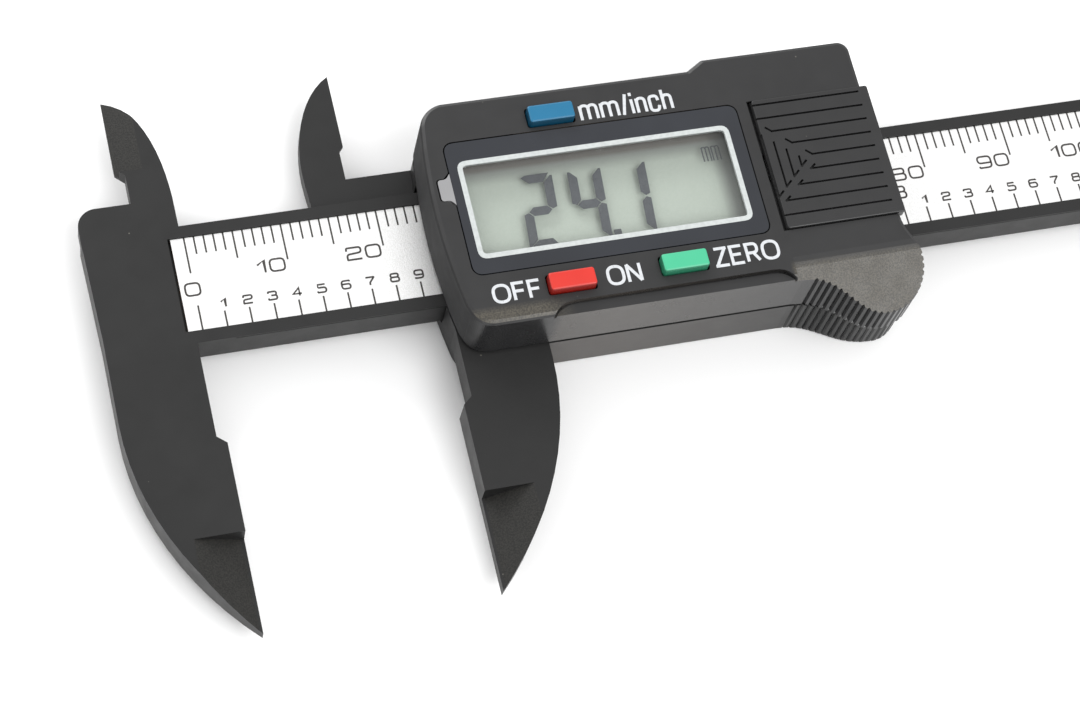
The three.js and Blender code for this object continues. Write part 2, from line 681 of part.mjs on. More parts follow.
addPart('slider_frame', sliderFrame(), blackPlastic);
addPart('display_housing', displayHousing(), blackPlastic);
addPart('display_lens', displayLens(), { color: 0x3c4048, roughness: 0.08, metalness: 0 });
addPart('lcd_panel', lcdPanel(), { color: 0xb4beb2, roughness: 0.25, metalness: 0 });
addPart('lcd_connector', lcdConnector(), { color: 0xd890a0, roughness: 0.8, metalness: 0 });
addPart('circuit_board', circuitBoard(), boardGreen);
addPart('control_chip', controlChip(), { color: 0x101010, roughness: 0.4, metalness: 0 });
for (const [name, place] of Object.entries(buttonPlaces)) {
  addPart(`${name}_contact_dome`, contactDome(place), springMetal);
}
addPart('positive_contact', positiveContact(), springMetal);
addPart('negative_contact', negativeContact(), springMetal);
addPart('button_cell', buttonCell(), steel);
addPart('slide_spring', slideSpring(), springMetal);
addPart('depth_rod', depthRod(), steel);
addPart('depth_rod_screw', backScrew(rodScrew, {
  bottom: body.back + 0.1, top: -2.8, headHeight: flatScrew.headHeight, shank: 0.45,
}), steel);
housingScrews.forEach((place, i) => {
  addPart(`housing_screw_${i + 1}`, backScrew(place, { bottom: body.back + 0.4, top: 4.4 }), steel);
});
boardScrews.forEach((place, i) => {
  addPart(`board_screw_${i + 1}`, backScrew(place, {
    bottom: -0.45, top: 3.9, head: 1.1, headHeight: 0.7, shank: 0.45,
  }), steel);
});

addPart('battery_door', batteryDoor(), blackPlastic);
addPart('unit_button', pushButton(buttonPlaces.unit), { color: 0x196ea0, roughness: 0.4, metalness: 0 });
addPart('power_button', pushButton(buttonPlaces.power), { color: 0xe8463c, roughness: 0.4, metalness: 0 });
addPart('zero_button', pushButton(buttonPlaces.zero), { color: 0x4bc896, roughness: 0.4, metalness: 0 });

// The origin goes to the middle of the whole object in plan, on the surface that it lies on.
const extent = new THREE.Box3().setFromObject(caliper);
const middle = extent.getCenter(new THREE.Vector3());
caliper.position.set(-middle.x, -middle.y, -extent.min.z);

export default caliper;
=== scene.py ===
import math

import bmesh
import bpy
from mathutils import Matrix, Vector


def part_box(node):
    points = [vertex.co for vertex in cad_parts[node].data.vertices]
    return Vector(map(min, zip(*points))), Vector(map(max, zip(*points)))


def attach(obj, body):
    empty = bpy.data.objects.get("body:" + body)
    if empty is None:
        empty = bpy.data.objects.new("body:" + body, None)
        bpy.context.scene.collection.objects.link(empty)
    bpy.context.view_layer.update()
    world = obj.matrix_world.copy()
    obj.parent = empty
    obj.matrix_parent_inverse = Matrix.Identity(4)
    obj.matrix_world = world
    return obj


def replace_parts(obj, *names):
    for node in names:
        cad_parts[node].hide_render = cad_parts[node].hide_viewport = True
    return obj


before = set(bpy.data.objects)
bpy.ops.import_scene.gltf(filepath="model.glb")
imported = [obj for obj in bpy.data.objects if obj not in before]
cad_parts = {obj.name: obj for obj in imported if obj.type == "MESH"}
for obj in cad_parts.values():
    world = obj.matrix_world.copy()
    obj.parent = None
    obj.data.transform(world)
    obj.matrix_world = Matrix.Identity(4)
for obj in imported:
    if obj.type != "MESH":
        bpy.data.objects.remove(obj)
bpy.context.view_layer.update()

MM = 0.001


class Span:
    """The box of a CAD node, in millimetres."""

    def __init__(self, node):
        low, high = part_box(node)
        self.left, self.front, self.bottom = (value / MM for value in low)
        self.right, self.back, self.top = (value / MM for value in high)


BEAM = Span("main_beam")
LABEL = Span("scale_label")
HOUSING = Span("display_housing")
LENS = Span("display_lens")
LCD = Span("lcd_panel")
DOOR = Span("battery_door")
UNIT = Span("unit_button")
POWER = Span("power_button")
ZERO = Span("zero_button")

THUMB_LEFT = DOOR.left - 0.35  # where the slope of the thumb rest starts
SURFACE = 0.02  # how far print stands off what it is printed on
STEP = 0.002  # how much higher each next stroke of a word is, so that crossing strokes don't flicker
FACE = HOUSING.top  # the front face of the housing
SCALE_ZERO = LABEL.left + 1.38  # where the printed millimetre scale starts
INCH_ZERO = LABEL.left + 1.45  # where the printed inch scale starts
MIDDLE = (LABEL.front + LABEL.back) / 2  # the beam's centreline
BEAM_HALF = 6.57  # half the beam's width, from the scale's middle to its front wall
TAB = {"width": 1.45, "low": 1.68, "high": 4.07, "flare": 0.6}  # the moulding tab at the lens's left
LENS_LEFT = LENS.left + TAB["width"]  # the lens's left edge without the tab


# ---------------------------------------------------------------- camera, floor and light

def aim(thing, eye, target, roll=0.0):
    """Puts a camera or lamp at eye, looking at target and rolled about its line of sight."""
    thing.location = Vector(eye) * MM
    thing.rotation_mode = "QUATERNION"
    look = (Vector(target) - Vector(eye)).to_track_quat("-Z", "Y")
    thing.rotation_quaternion = look @ Matrix.Rotation(math.radians(roll), 4, "Z").to_quaternion()


def add_camera():
    """The photograph's viewpoint, left of and in front of the display, looking down at it."""
    data = bpy.data.cameras.new("camera")
    data.lens = 90.41
    data.sensor_width = 36
    data.clip_start = 0.01
    camera = bpy.data.objects.new("camera", data)
    bpy.context.scene.collection.objects.link(camera)
    aim(camera, (-143.5, -106.9, 255.8), (-79.9, -6.9, 6.0), roll=20.97)
    bpy.context.scene.camera = camera


def add_lamp(name, eye, target, size, watts):
    data = bpy.data.lights.new(name, "AREA")
    data.shape = "RECTANGLE"
    data.size = size[0] * MM
    data.size_y = size[1] * MM
    data.energy = watts
    lamp = bpy.data.objects.new(name, data)
    bpy.context.scene.collection.objects.link(lamp)
    aim(lamp, eye, target)


def add_studio():
    world = bpy.data.worlds.new("studio")
    world.use_nodes = True
    sky = world.node_tree.nodes["Background"]
    sky.inputs["Color"].default_value = (1, 1, 1, 1)
    sky.inputs["Strength"].default_value = 0.92
    bpy.context.scene.world = world
    bpy.context.scene.view_settings.view_transform = "Standard"
    add_lamp("back_softbox", (-270, 640, 360), (-30, 0, 0), (600, 300), 3.4)
    add_lamp("front_softbox", (130, -330, 600), (-30, 0, 0), (520, 380), 3.1)
    bpy.ops.mesh.primitive_plane_add(size=6, location=(0, 0, 0))
    floor = bpy.context.object
    floor.name = "floor"
    floor.data.materials.append(floor_material())


# ---------------------------------------------------------------- materials

class Nodes:
    """A material's node tree, with short calls for the nodes used here."""

    def __init__(self, name):
        self.material = bpy.data.materials.new(name)
        self.material.use_nodes = True
        self.tree = self.material.node_tree
        self.shader = self.tree.nodes["Principled BSDF"]
        self.output = self.tree.nodes["Material Output"]
        where = self.tree.nodes.new("ShaderNodeTexCoord").outputs
        self.place = where["Object"]
        self.normal = where["Normal"]

    def add(self, kind, **settings):
        node = self.tree.nodes.new("ShaderNode" + kind)
        for key, value in settings.items():
            setattr(node, key, value)
        return node

    def join(self, source, target):
        self.tree.links.new(source, target)

    def stretched(self, scale):
        mapping = self.add("Mapping")
        mapping.inputs["Scale"].default_value = scale
        self.join(self.place, mapping.inputs["Vector"])
        return mapping.outputs["Vector"]

    def noise(self, per_mm, detail=3.0, scale=None):
        """Noise with that many lumps per millimetre, from about 0.3 to 0.7."""
        texture = self.add("TexNoise")
        texture.inputs["Scale"].default_value = per_mm / MM
        texture.inputs["Detail"].default_value = detail
        self.join(self.place if scale is None else self.stretched(scale), texture.inputs["Vector"])
        return texture.outputs["Fac"]

    def remap(self, value, low, high, to_low, to_high):
        ramp = self.add("MapRange")
        ramp.inputs["From Min"].default_value = low
        ramp.inputs["From Max"].default_value = high
        ramp.inputs["To Min"].default_value = to_low
        ramp.inputs["To Max"].default_value = to_high
        self.join(value, ramp.inputs["Value"])
        return ramp.outputs["Result"]

    def blend(self, factor, first, second):
        mix = self.add("Mix", data_type="RGBA")
        self.join(factor, mix.inputs["Factor"])
        for socket, colour in ((mix.inputs[6], first), (mix.inputs[7], second)):
            if isinstance(colour, bpy.types.NodeSocket):
                self.join(colour, socket)
            else:
                socket.default_value = (*colour, 1)
        return mix.outputs[2]

    def mix(self, factor, first, second):
        """A number between first, where factor is 0, and second, where it is 1."""
        node = self.add("Mix", data_type="FLOAT")
        self.join(factor, node.inputs[0])
        self.join(first, node.inputs[2])
        self.join(second, node.inputs[3])
        return node.outputs[0]

    def facing(self, axis, low, high):
        """0 where the normal's part along the axis is at low, and 1 where it is at high."""
        split = self.add("SeparateXYZ")
        self.join(self.normal, split.inputs[0])
        return self.remap(split.outputs[axis], low, high, 0.0, 1.0)

    def slope(self):
        """1 on faces that lean, and 0 on those that look along Z or stand upright."""
        return self.product(self.facing("Z", 0.985, 0.95), self.facing("Z", 0.6, 0.8))

    def along(self, axis, start, end):
        """0 at the millimetre start along an axis and 1 at end."""
        split = self.add("SeparateXYZ")
        self.join(self.place, split.inputs[0])
        return self.remap(split.outputs[axis], start * MM, end * MM, 0.0, 1.0)

    def combine(self, operation, first, second):
        node = self.add("Math", operation=operation)
        self.join(first, node.inputs[0])
        self.join(second, node.inputs[1])
        return node.outputs[0]

    def product(self, first, second):
        return self.combine("MULTIPLY", first, second)

    def larger(self, first, second):
        return self.combine("MAXIMUM", first, second)

    def bump(self, height, strength, distance_mm, normal=None):
        node = self.add("Bump")
        node.inputs["Strength"].default_value = strength
        node.inputs["Distance"].default_value = distance_mm * MM
        self.join(height, node.inputs["Height"])
        if normal is not None:
            self.join(normal, node.inputs["Normal"])
        return node.outputs["Normal"]

    def set(self, **inputs):
        for key, value in inputs.items():
            socket = self.shader.inputs[key.replace("_", " ")]
            if isinstance(value, bpy.types.NodeSocket):
                self.join(value, socket)
            else:
                socket.default_value = value


def floor_material():
    nodes = Nodes("white_board")
    tone = nodes.remap(nodes.noise(0.01), 0.3, 0.7, 0.0, 1.0)
    nodes.set(Base_Color=nodes.blend(tone, (0.90, 0.90, 0.90), (0.93, 0.93, 0.93)), Roughness=0.9)
    return nodes.material


def moulded(name, colour, roughness, grain, grain_per_mm=9.0, lift=1.25, side_gloss=0.0, shine=0.5):
    """Moulded plastic: a fine skin over slow waves, and a colour that drifts up to lift times.

    side_gloss is how much smoother the front wall is than the other faces. Returns the Nodes, whose
    colour, skin and rough can be built on."""
    nodes = Nodes(name)
    drift = nodes.remap(nodes.noise(0.12), 0.35, 0.65, 0.0, 1.0)
    lighter = tuple(min(1.0, value * lift) for value in colour)
    rough = nodes.remap(nodes.noise(0.5), 0.3, 0.7, roughness - 0.05, roughness + 0.05)
    if side_gloss > 0:
        smoothest = roughness - side_gloss
        smoother = nodes.remap(nodes.noise(0.5), 0.3, 0.7, smoothest, smoothest + 0.06)
        rough = nodes.mix(nodes.facing("Y", -0.3, -0.75), rough, smoother)
    nodes.rough = rough
    waves = nodes.bump(nodes.noise(0.9, 2.0), grain * 0.5, 0.02)
    nodes.colour = nodes.blend(drift, colour, lighter)
    nodes.skin = nodes.bump(nodes.noise(grain_per_mm, 2.0), grain, 0.02, waves)
    nodes.set(Base_Color=nodes.colour, Roughness=rough, Normal=nodes.skin, Specular_IOR_Level=shine)
    return nodes


def add_grain(nodes, where, darker, lighter, depth):
    """Gives the plastic a coarse spark-eroded grain where the mask says so, in the colours given; on the
    housing those pale colours also paint sheen.
    """
    lumps = nodes.noise(6.5, 2.5)
    speckle = nodes.blend(nodes.remap(lumps, 0.38, 0.62, 0.0, 1.0), darker, lighter)
    nodes.colour = nodes.blend(where, nodes.colour, speckle)
    nodes.skin = nodes.bump(nodes.product(lumps, where), depth, 0.04, nodes.skin)
    nodes.set(Base_Color=nodes.colour, Normal=nodes.skin)


def add_dust(nodes):
    """Strews small pale specks over the surface."""
    cells = nodes.add("TexVoronoi")
    cells.inputs["Scale"].default_value = 0.35 / MM
    nodes.join(nodes.place, cells.inputs["Vector"])
    specks = nodes.remap(cells.outputs["Distance"], 0.034, 0.018, 0.0, 1.0)
    nodes.colour = nodes.blend(specks, nodes.colour, (0.12, 0.115, 0.10))
    nodes.set(Base_Color=nodes.colour)


def pale_front_wall(nodes):
    """Paints light onto the slider's front wall to the right of the jaw, less and less towards the thumb
    rest: a painted reflection that makes the wall paler.
    """
    right_of_jaw = nodes.along("X", HOUSING.left + 9.6, HOUSING.left + 10.6)
    left_of_thumb = nodes.along("X", THUMB_LEFT + 2.6, HOUSING.left + 16)
    stretch = nodes.product(right_of_jaw, left_of_thumb)
    where = nodes.product(nodes.facing("Y", -0.7, -0.95), stretch)
    # painted light: the front wall's colour is raised where it would catch the floor's glow
    nodes.colour = nodes.blend(where, nodes.colour, (0.056, 0.050, 0.045))
    nodes.set(Base_Color=nodes.colour)


def frame_plastic(name, side_gloss):
    """The beam's and the lower slider half's finish, grainy on the slopes of the jaws."""
    nodes = moulded(name, (0.010, 0.010, 0.010), 0.48, 0.35, side_gloss=side_gloss, shine=0.36)
    add_grain(nodes, nodes.slope(), (0.008, 0.008, 0.007), (0.020, 0.019, 0.017), 0.5)
    add_dust(nodes)
    return nodes


def housing_plastic():
    """The housing's finish: grainy on the thumb rest and in the front left corner, where the grain's pale
    brown colours are partly painted sheen; painted light on the front wall; dull on the left wall.
    """
    nodes = moulded("housing_plastic", (0.012, 0.012, 0.0125), 0.42, 0.25, side_gloss=0.2)
    front = nodes.along("Y", MIDDLE - 10.5, MIDDLE - 11.3)
    left = nodes.along("X", HOUSING.left + 12, HOUSING.left + 9)
    right = nodes.along("X", THUMB_LEFT - 0.5, THUMB_LEFT)
    upper_front = nodes.product(nodes.facing("Z", 0.7, 0.85), front)
    where = nodes.product(upper_front, nodes.larger(left, right))
    # real grain, but its pale brown colours also paint the warm sheen on these slopes
    add_grain(nodes, where, (0.030, 0.027, 0.021), (0.075, 0.067, 0.052), 0.8)
    # painted light on the front wall
    pale_front_wall(nodes)
    add_dust(nodes)
    rougher = nodes.remap(nodes.noise(0.5), 0.3, 0.7, 0.8, 0.9)
    nodes.set(Roughness=nodes.mix(nodes.facing("X", -0.5, -0.9), nodes.rough, rougher))
    return nodes.material


def button_plastic(name, colour):
    """A button's finish, with painted shade on the faces that lean away from the top."""
    nodes = moulded(name, colour, 0.42, 0.45, 6.0, 1.1)
    # painted shade: the upright faces are darkened as if turned from the light
    painted_side_shade = tuple(value * 0.45 for value in colour)
    nodes.set(Base_Color=nodes.blend(nodes.facing("Z", 0.5, 0.95), painted_side_shade, nodes.colour))
    return nodes.material


def slider_plastic():
    nodes = frame_plastic("slider_plastic", 0.2)
    # painted light on the front wall
    pale_front_wall(nodes)
    return nodes.material


def metal(name, colour, roughness, brushed=(1, 12, 12)):
    """Metal with fine lines along X."""
    nodes = Nodes(name)
    lines = nodes.noise(1.2, 4.0, brushed)
    darker = tuple(value * 0.82 for value in colour)
    nodes.set(
        Base_Color=nodes.blend(nodes.remap(lines, 0.35, 0.65, 0.0, 1.0), darker, colour),
        Metallic=1.0,
        Roughness=nodes.remap(lines, 0.3, 0.7, roughness - 0.06, roughness + 0.08),
        Normal=nodes.bump(lines, 0.15, 0.01),
    )
    return nodes.material


def silver_film():
    """The scale's silvery film: a metallic ink whose grain sparkles."""
    nodes = Nodes("silver_film")
    grain = nodes.noise(9.0, 1.5)
    flakes = nodes.remap(grain, 0.35, 0.65, 0.0, 1.0)
    nodes.set(
        Base_Color=nodes.blend(flakes, (0.88, 0.88, 0.87), (0.98, 0.98, 0.98)),
        Metallic=0.75,
        Roughness=0.32,
        Normal=nodes.bump(grain, 1.0, 0.03),
    )
    return nodes.material


MIRRORED = 0.04  # the share of light that a face of clear acrylic throws back


def clear_pane():
    """Clear acrylic: it lets light through and mirrors a small fixed share of it."""
    nodes = Nodes("clear_pane")
    gloss = nodes.add("BsdfGlossy")
    gloss.inputs["Roughness"].default_value = 0.03
    through = nodes.add("BsdfTransparent")
    through.inputs["Color"].default_value = (1, 1, 1, 1)
    nodes.join(nodes.bump(nodes.noise(0.08, 1.0), 0.05, 0.02), gloss.inputs["Normal"])
    mix = nodes.add("MixShader")
    mix.inputs["Fac"].default_value = MIRRORED
    nodes.join(through.outputs["BSDF"], mix.inputs[1])
    nodes.join(gloss.outputs["BSDF"], mix.inputs[2])
    nodes.join(mix.outputs["Shader"], nodes.output.inputs["Surface"])
    return nodes.material


def ink(name, colour, roughness=0.6):
    """Printed ink with faint paler patches."""
    nodes = Nodes(name)
    patches = nodes.remap(nodes.noise(3.0), 0.35, 0.65, 0.0, 1.0)
    lighter = tuple(min(1.0, value * 1.12 + 0.01) for value in colour)
    nodes.set(Base_Color=nodes.blend(patches, colour, lighter), Roughness=roughness)
    return nodes.material


def display_face():
    """The display's grey-green reflector, with painted shade under the window's far and right edges and a
    darker painted shadow strip just under the far edge.
    """
    nodes = Nodes("display_face")
    mottle = nodes.remap(nodes.noise(6.0, 1.0), 0.35, 0.65, 0.0, 1.0)
    colour = nodes.blend(mottle, (0.35, 0.40, 0.347), (0.376, 0.426, 0.373))
    # painted shade: darker towards the window's far and right edges, where the lens border shades the
    # reflector
    far = nodes.along("Y", LENS.back - 4.2, LENS.back - 2.7)
    right = nodes.along("X", LENS.right - 3.4, LENS.right - 2.0)
    edge = nodes.larger(far, right)
    # painted shadow: a dark brownish strip just under the window's far edge
    rim_shadow = nodes.along("Y", LENS.back - 2.75, LENS.back - 2.35)
    painted_shade_colour = nodes.blend(edge, colour, (0.218, 0.238, 0.218))
    nodes.set(Base_Color=nodes.blend(rim_shadow, painted_shade_colour, (0.145, 0.139, 0.125)), Roughness=0.55)
    return nodes.material


MATERIALS = {
    "beam": frame_plastic("beam_plastic", 0.06).material,
    "slider": slider_plastic(),
    "housing": housing_plastic(),
    "steel": metal("steel", (0.60, 0.61, 0.62), 0.30),
    "screw": metal("screw_steel", (0.50, 0.51, 0.52), 0.32, (4, 4, 4)),
    "bronze": metal("spring_bronze", (0.72, 0.52, 0.25), 0.30),
    "copper": metal("copper_strip", (0.70, 0.38, 0.20), 0.35),
    "film": silver_film(),
    "pane": clear_pane(),
    "display": display_face(),
    "segment": ink("display_segment", (0.036, 0.043, 0.050), 0.5),
    "scale_ink": ink("scale_ink", (0.024, 0.020, 0.018)),
    "white_ink": ink("white_ink", (0.50, 0.515, 0.535), 0.5),
    # a near-black matte strip for the dark line along the beam's front edge
    "dark_edge_matte": ink("dark_edge_matte", (0.004, 0.004, 0.004), 0.8),
    "window_ink": ink("window_ink", (0.43, 0.455, 0.45), 0.5),
    "border": moulded("lens_border", (0.016, 0.018, 0.023), 0.14, 0.03, 1.0).material,
    "tab": moulded("lens_tab", (0.23, 0.23, 0.235), 0.35, 0.2).material,
    "board": moulded("board_green", (0.02, 0.14, 0.06), 0.40, 0.2, 2.0).material,
    "chip": moulded("chip_resin", (0.012, 0.012, 0.012), 0.30, 0.2, 2.0).material,
    "silicone": moulded("silicone", (0.55, 0.22, 0.28), 0.60, 0.2, 3.0).material,
    "blue": button_plastic("blue_button", (0.003, 0.122, 0.240)),
    "red": button_plastic("red_button", (0.540, 0.020, 0.011)),
    "green": button_plastic("green_button", (0.050, 0.420, 0.230)),
}

# The material of every CAD node except the screws.
NODE_MATERIALS = {
    "main_beam": "beam",
    "slider_frame": "slider",
    "display_housing": "housing",
    "battery_door": "housing",
    "scale_label": "film",
    "stator_strip": "copper",
    "beam_end_plate": "steel",
    "depth_rod": "steel",
    "button_cell": "steel",
    "circuit_board": "board",
    "control_chip": "chip",
    "lcd_connector": "silicone",
    "positive_contact": "bronze",
    "negative_contact": "bronze",
    "slide_spring": "bronze",
    "unit_contact_dome": "bronze",
    "power_contact_dome": "bronze",
    "zero_contact_dome": "bronze",
    "unit_button": "blue",
    "power_button": "red",
    "zero_button": "green",
    "lcd_panel": "display",
    "display_lens": "border",
}
SOFTENED = {"main_beam": 0.12, "slider_frame": 0.15, "display_housing": 0.12, "battery_door": 0.1}


def finish_nodes():
    for name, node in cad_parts.items():
        finish = "screw" if "screw" in name else NODE_MATERIALS[name]
        node.data.materials.clear()
        node.data.materials.append(MATERIALS[finish])


def soften(node, width):
    """Rounds a CAD node's sharp edges to that width, with modifiers, so that its mesh stays as it is."""
    weld = node.modifiers.new("weld", "WELD")
    weld.merge_threshold = 1e-6
    flat = node.modifiers.new("flat", "DECIMATE")
    flat.decimate_type = "DISSOLVE"
    flat.angle_limit = math.radians(1)
    bevel = node.modifiers.new("bevel", "BEVEL")
    bevel.width = width * MM
    bevel.segments = 2
    bevel.limit_method = "ANGLE"
    bevel.angle_limit = math.radians(32)
    bevel.harden_normals = True


# ---------------------------------------------------------------- meshes

def add_piece(name, mesh, material, body):
    piece = bpy.data.objects.new(name, mesh)
    bpy.context.scene.collection.objects.link(piece)
    mesh.materials.append(MATERIALS[material])
    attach(piece, body)
    return piece


def rounded(points, radius, closed=False, steps=5):
    """The line through points with each corner turned into an arc."""
    if radius == 0:
        return [Vector(point) for point in points]
    line = []
    count = len(points)
    for i, point in enumerate(points):
        corner = Vector(point)
        if not closed and i in (0, count - 1):
            line.append(corner)
            continue
        before = Vector(points[i - 1]) - corner
        after = Vector(points[(i + 1) % count]) - corner
        reach = min(radius, before.length * 0.499, after.length * 0.499)
        start = corner + before.normalized() * reach
        end = corner + after.normalized() * reach
        for step in range(steps + 1):
            t = step / steps
            line.append(start * (1 - t) ** 2 + corner * 2 * t * (1 - t) + end * t * t)
    return line


def ribbon(mesh, line, width, closed, bottom, top):
    """Adds a solid strip of that width along a flat line."""
    count = len(line)
    left, right = [], []
    for i, point in enumerate(line):
        before = line[i - 1] if closed or i > 0 else point
        after = line[(i + 1) % count] if closed or i < count - 1 else point
        ahead = (after - before).normalized()
        first = (point - before).normalized() if (point - before).length > 0 else ahead
        widen = 1 / max(ahead.dot(first), 0.5)
        side = Vector((-ahead.y, ahead.x)) * (width / 2 * widen)
        left.append(point + side)
        right.append(point - side)
    rings = []
    for i in range(count):
        corners = [(left[i], bottom), (right[i], bottom), (right[i], top), (left[i], top)]
        rings.append([mesh.verts.new((p.x * MM, p.y * MM, z * MM)) for p, z in corners])
    for i in range(count if closed else count - 1):
        a, b = rings[i], rings[(i + 1) % count]
        for k in range(4):
            mesh.faces.new((a[k], a[(k + 1) % 4], b[(k + 1) % 4], b[k]))
    if not closed:
        mesh.faces.new(rings[0][::-1])
        mesh.faces.new(rings[-1])


def plate(mesh, outline, bottom, top):
    """Adds a solid with that anticlockwise outline between two heights."""
    lower = [mesh.verts.new((x * MM, y * MM, bottom * MM)) for x, y in outline]
    upper = [mesh.verts.new((x * MM, y * MM, top * MM)) for x, y in outline]
    count = len(outline)
    for i in range(count):
        j = (i + 1) % count
        mesh.faces.new((lower[i], lower[j], upper[j], upper[i]))
    mesh.faces.new(lower[::-1])
    mesh.faces.new(upper)


def to_mesh(name, build):
    """Runs build on an empty bmesh and returns the mesh, with its faces turned outwards."""
    work = bmesh.new()
    build(work)
    bmesh.ops.recalc_face_normals(work, faces=work.faces)
    mesh = bpy.data.meshes.new(name)
    work.to_mesh(mesh)
    work.free()
    return mesh


def rectangle(x0, x1, y0, y1, radius):
    return rounded([(x0, y0), (x1, y0), (x1, y1), (x0, y1)], radius, closed=True)


# ---------------------------------------------------------------- the printed scale

# Strokes of the square numerals on a box one unit wide and high, as (corner radius, closed, points).
NUMERALS = {
    "0": [(0.34, True, [(0, 0), (1, 0), (1, 1), (0, 1)])],
    "1": [(0.0, False, [(0.08, 0.66), (0.58, 1), (0.58, 0)])],
    "2": [(0.3, False, [(0, 0.74), (0, 1), (1, 1), (1, 0.54), (0, 0.46), (0, 0), (0.03, 0)]),
          (0.0, False, [(0, 0), (1, 0)])],
    "3": [(0.3, False, [(0.02, 0.8), (0.02, 1), (0.96, 1), (0.96, 0.53), (0.35, 0.53)]),
          (0.3, False, [(0.35, 0.53), (1, 0.53), (1, 0), (0, 0), (0, 0.2)])],
    "4": [(0.0, False, [(0.74, 0), (0.74, 1), (0, 0.28), (1, 0.28)])],
    "5": [(0.0, False, [(0.94, 1), (0.08, 1), (0.08, 0.6)]),
          (0.3, False, [(0.08, 0.6), (1, 0.6), (1, 0), (0, 0), (0, 0.18)])],
    "6": [(0.32, False, [(0.94, 0.86), (0.94, 1), (0, 1), (0, 0), (1, 0), (1, 0.58), (0.02, 0.58)])],
    "7": [(0.1, False, [(0, 1), (1, 1), (0.42, 0.3), (0.42, 0)])],
    "8": [(0.26, True, [(0.05, 0.54), (0.95, 0.54), (0.95, 1), (0.05, 1)]),
          (0.26, True, [(0, 0), (1, 0), (1, 0.54), (0, 0.54)])],
    "9": [(0.32, False, [(0.06, 0.14), (0.06, 0), (1, 0), (1, 1), (0, 1), (0, 0.42), (0.98, 0.42)])],
}
NARROW = {"1": 0.62}  # how wide a numeral is, where it isn't one unit


def numeral_width(numeral, width):
    return NARROW.get(numeral, 1.0) * width


def draw_number(mesh, text, right, base, size, stroke, gap, z):
    """Draws a number that ends at right. size is the width and height of a numeral's line."""
    width, height = size
    x = right
    level = z
    for numeral in reversed(text):
        x -= numeral_width(numeral, width)
        for radius, closed, points in NUMERALS[numeral]:
            placed = [(x + px * width, base + py * height) for px, py in points]
            line = rounded(placed, radius * height, closed)
            ribbon(mesh, line, stroke, closed, z, level + SURFACE)
            level += STEP
        x -= gap


def number_width(text, width, gap):
    return sum(numeral_width(numeral, width) for numeral in text) + gap * (len(text) - 1)


TICK = 0.18  # how wide a tick is
MM_TICK = 1.95  # how long the millimetre ticks are, and those at multiples of five and ten
FIVE_TICK = 3.05
TEN_TICK = 4.0
INCH_TICK = 1.72  # how long the ticks at tenths of an inch are, and those at whole inches
INCH_LONG_TICK = 2.7
BIG = {"size": (1.5, 1.35), "stroke": 0.2, "gap": 0.5}
SMALL = {"size": (0.88, 0.88), "stroke": 0.185, "gap": 0.3}


def draw_tick(mesh, x, start, end):
    z = LABEL.top
    ribbon(mesh, [Vector((x, start)), Vector((x, end))], TICK, False, z, z + SURFACE)


def millimetre_scale(mesh):
    z = LABEL.top
    last = int(LABEL.right - SCALE_ZERO - 0.5)
    for i in range(last + 1):
        length = TEN_TICK if i % 10 == 0 else FIVE_TICK if i % 5 == 0 else MM_TICK
        draw_tick(mesh, SCALE_ZERO + i, LABEL.back, LABEL.back - length)
    for i in range(10, last + 1, 10):
        draw_number(mesh, str(i), SCALE_ZERO + i - 0.42, MIDDLE + 0.07, z=z, **BIG)
    draw_number(mesh, "0", SCALE_ZERO + 0.62, MIDDLE - 1.31, z=z, **BIG)


def inch_scale(mesh):
    z = LABEL.top
    tenth = 2.54
    last = int((LABEL.right - INCH_ZERO - 0.5) / tenth)
    for i in range(last + 1):
        x = INCH_ZERO + i * tenth
        whole = i % 10 == 0
        draw_tick(mesh, x, LABEL.front, LABEL.front + (INCH_LONG_TICK if whole else INCH_TICK))
        if i == 0:
            continue
        text = str(i // 10) if whole else str(i % 10)
        style = BIG if whole else SMALL
        half = number_width(text, style["size"][0], style["gap"]) / 2
        base = MIDDLE - (2.03 if whole else 3.03)
        draw_number(mesh, text, x + half, base, z=z, **style)


def beam_edge_line(mesh):
    """A narrow dark line just under the top edge of the beam's front wall."""
    front = MIDDLE - BEAM_HALF
    line = [Vector((LABEL.left + 4.6, front)), Vector((BEAM.right - 0.9, front))]
    ribbon(mesh, line, 0.04, False, BEAM.top - 0.32, BEAM.top - 0.16)


# ---------------------------------------------------------------- the display

# How far the white line round the window stands in from the lens's edges, its width and its corners.
LINE = {"left": 0.95, "right": -1.4, "front": 1.67, "back": -2.2, "width": 0.53, "radius": 1.0}


def window_outline(grow):
    """The white line's outer edge, moved outwards by grow."""
    return rectangle(
        LENS_LEFT + LINE["left"] - grow, LENS.right + LINE["right"] + grow,
        LENS.front + LINE["front"] - grow, LENS.back + LINE["back"] + grow,
        LINE["radius"] + grow)


def lens_outline():
    """The lens's edge, a hair inside the housing's opening."""
    inset = 0.03
    return rectangle(
        LENS_LEFT + inset, LENS.right - inset, LENS.front + inset, LENS.back - inset, 1.1)


def ring(mesh, outer, inner, bottom, top):
    """Adds a flat frame between two outlines that have the same number of points."""
    levels = [(outer, bottom), (outer, top), (inner, top), (inner, bottom)]
    rings = [[mesh.verts.new((x * MM, y * MM, z * MM)) for x, y in outline] for outline, z in levels]
    count = len(outer)
    for a, b in zip(rings, rings[1:] + rings[:1]):
        for i in range(count):
            j = (i + 1) % count
            mesh.faces.new((a[i], a[j], b[j], b[i]))


def tab_outline():
    """The moulding tab, which flares where it meets the lens."""
    low = MIDDLE + TAB["low"]
    high = MIDDLE + TAB["high"]
    flare = TAB["flare"]
    neck = LENS_LEFT - 0.45
    end = LENS.left + 0.07
    return rounded([(LENS_LEFT, low - flare), (neck, low), (end, low), (end, high),
                    (neck, high), (LENS_LEFT, high + flare)], 0.35)


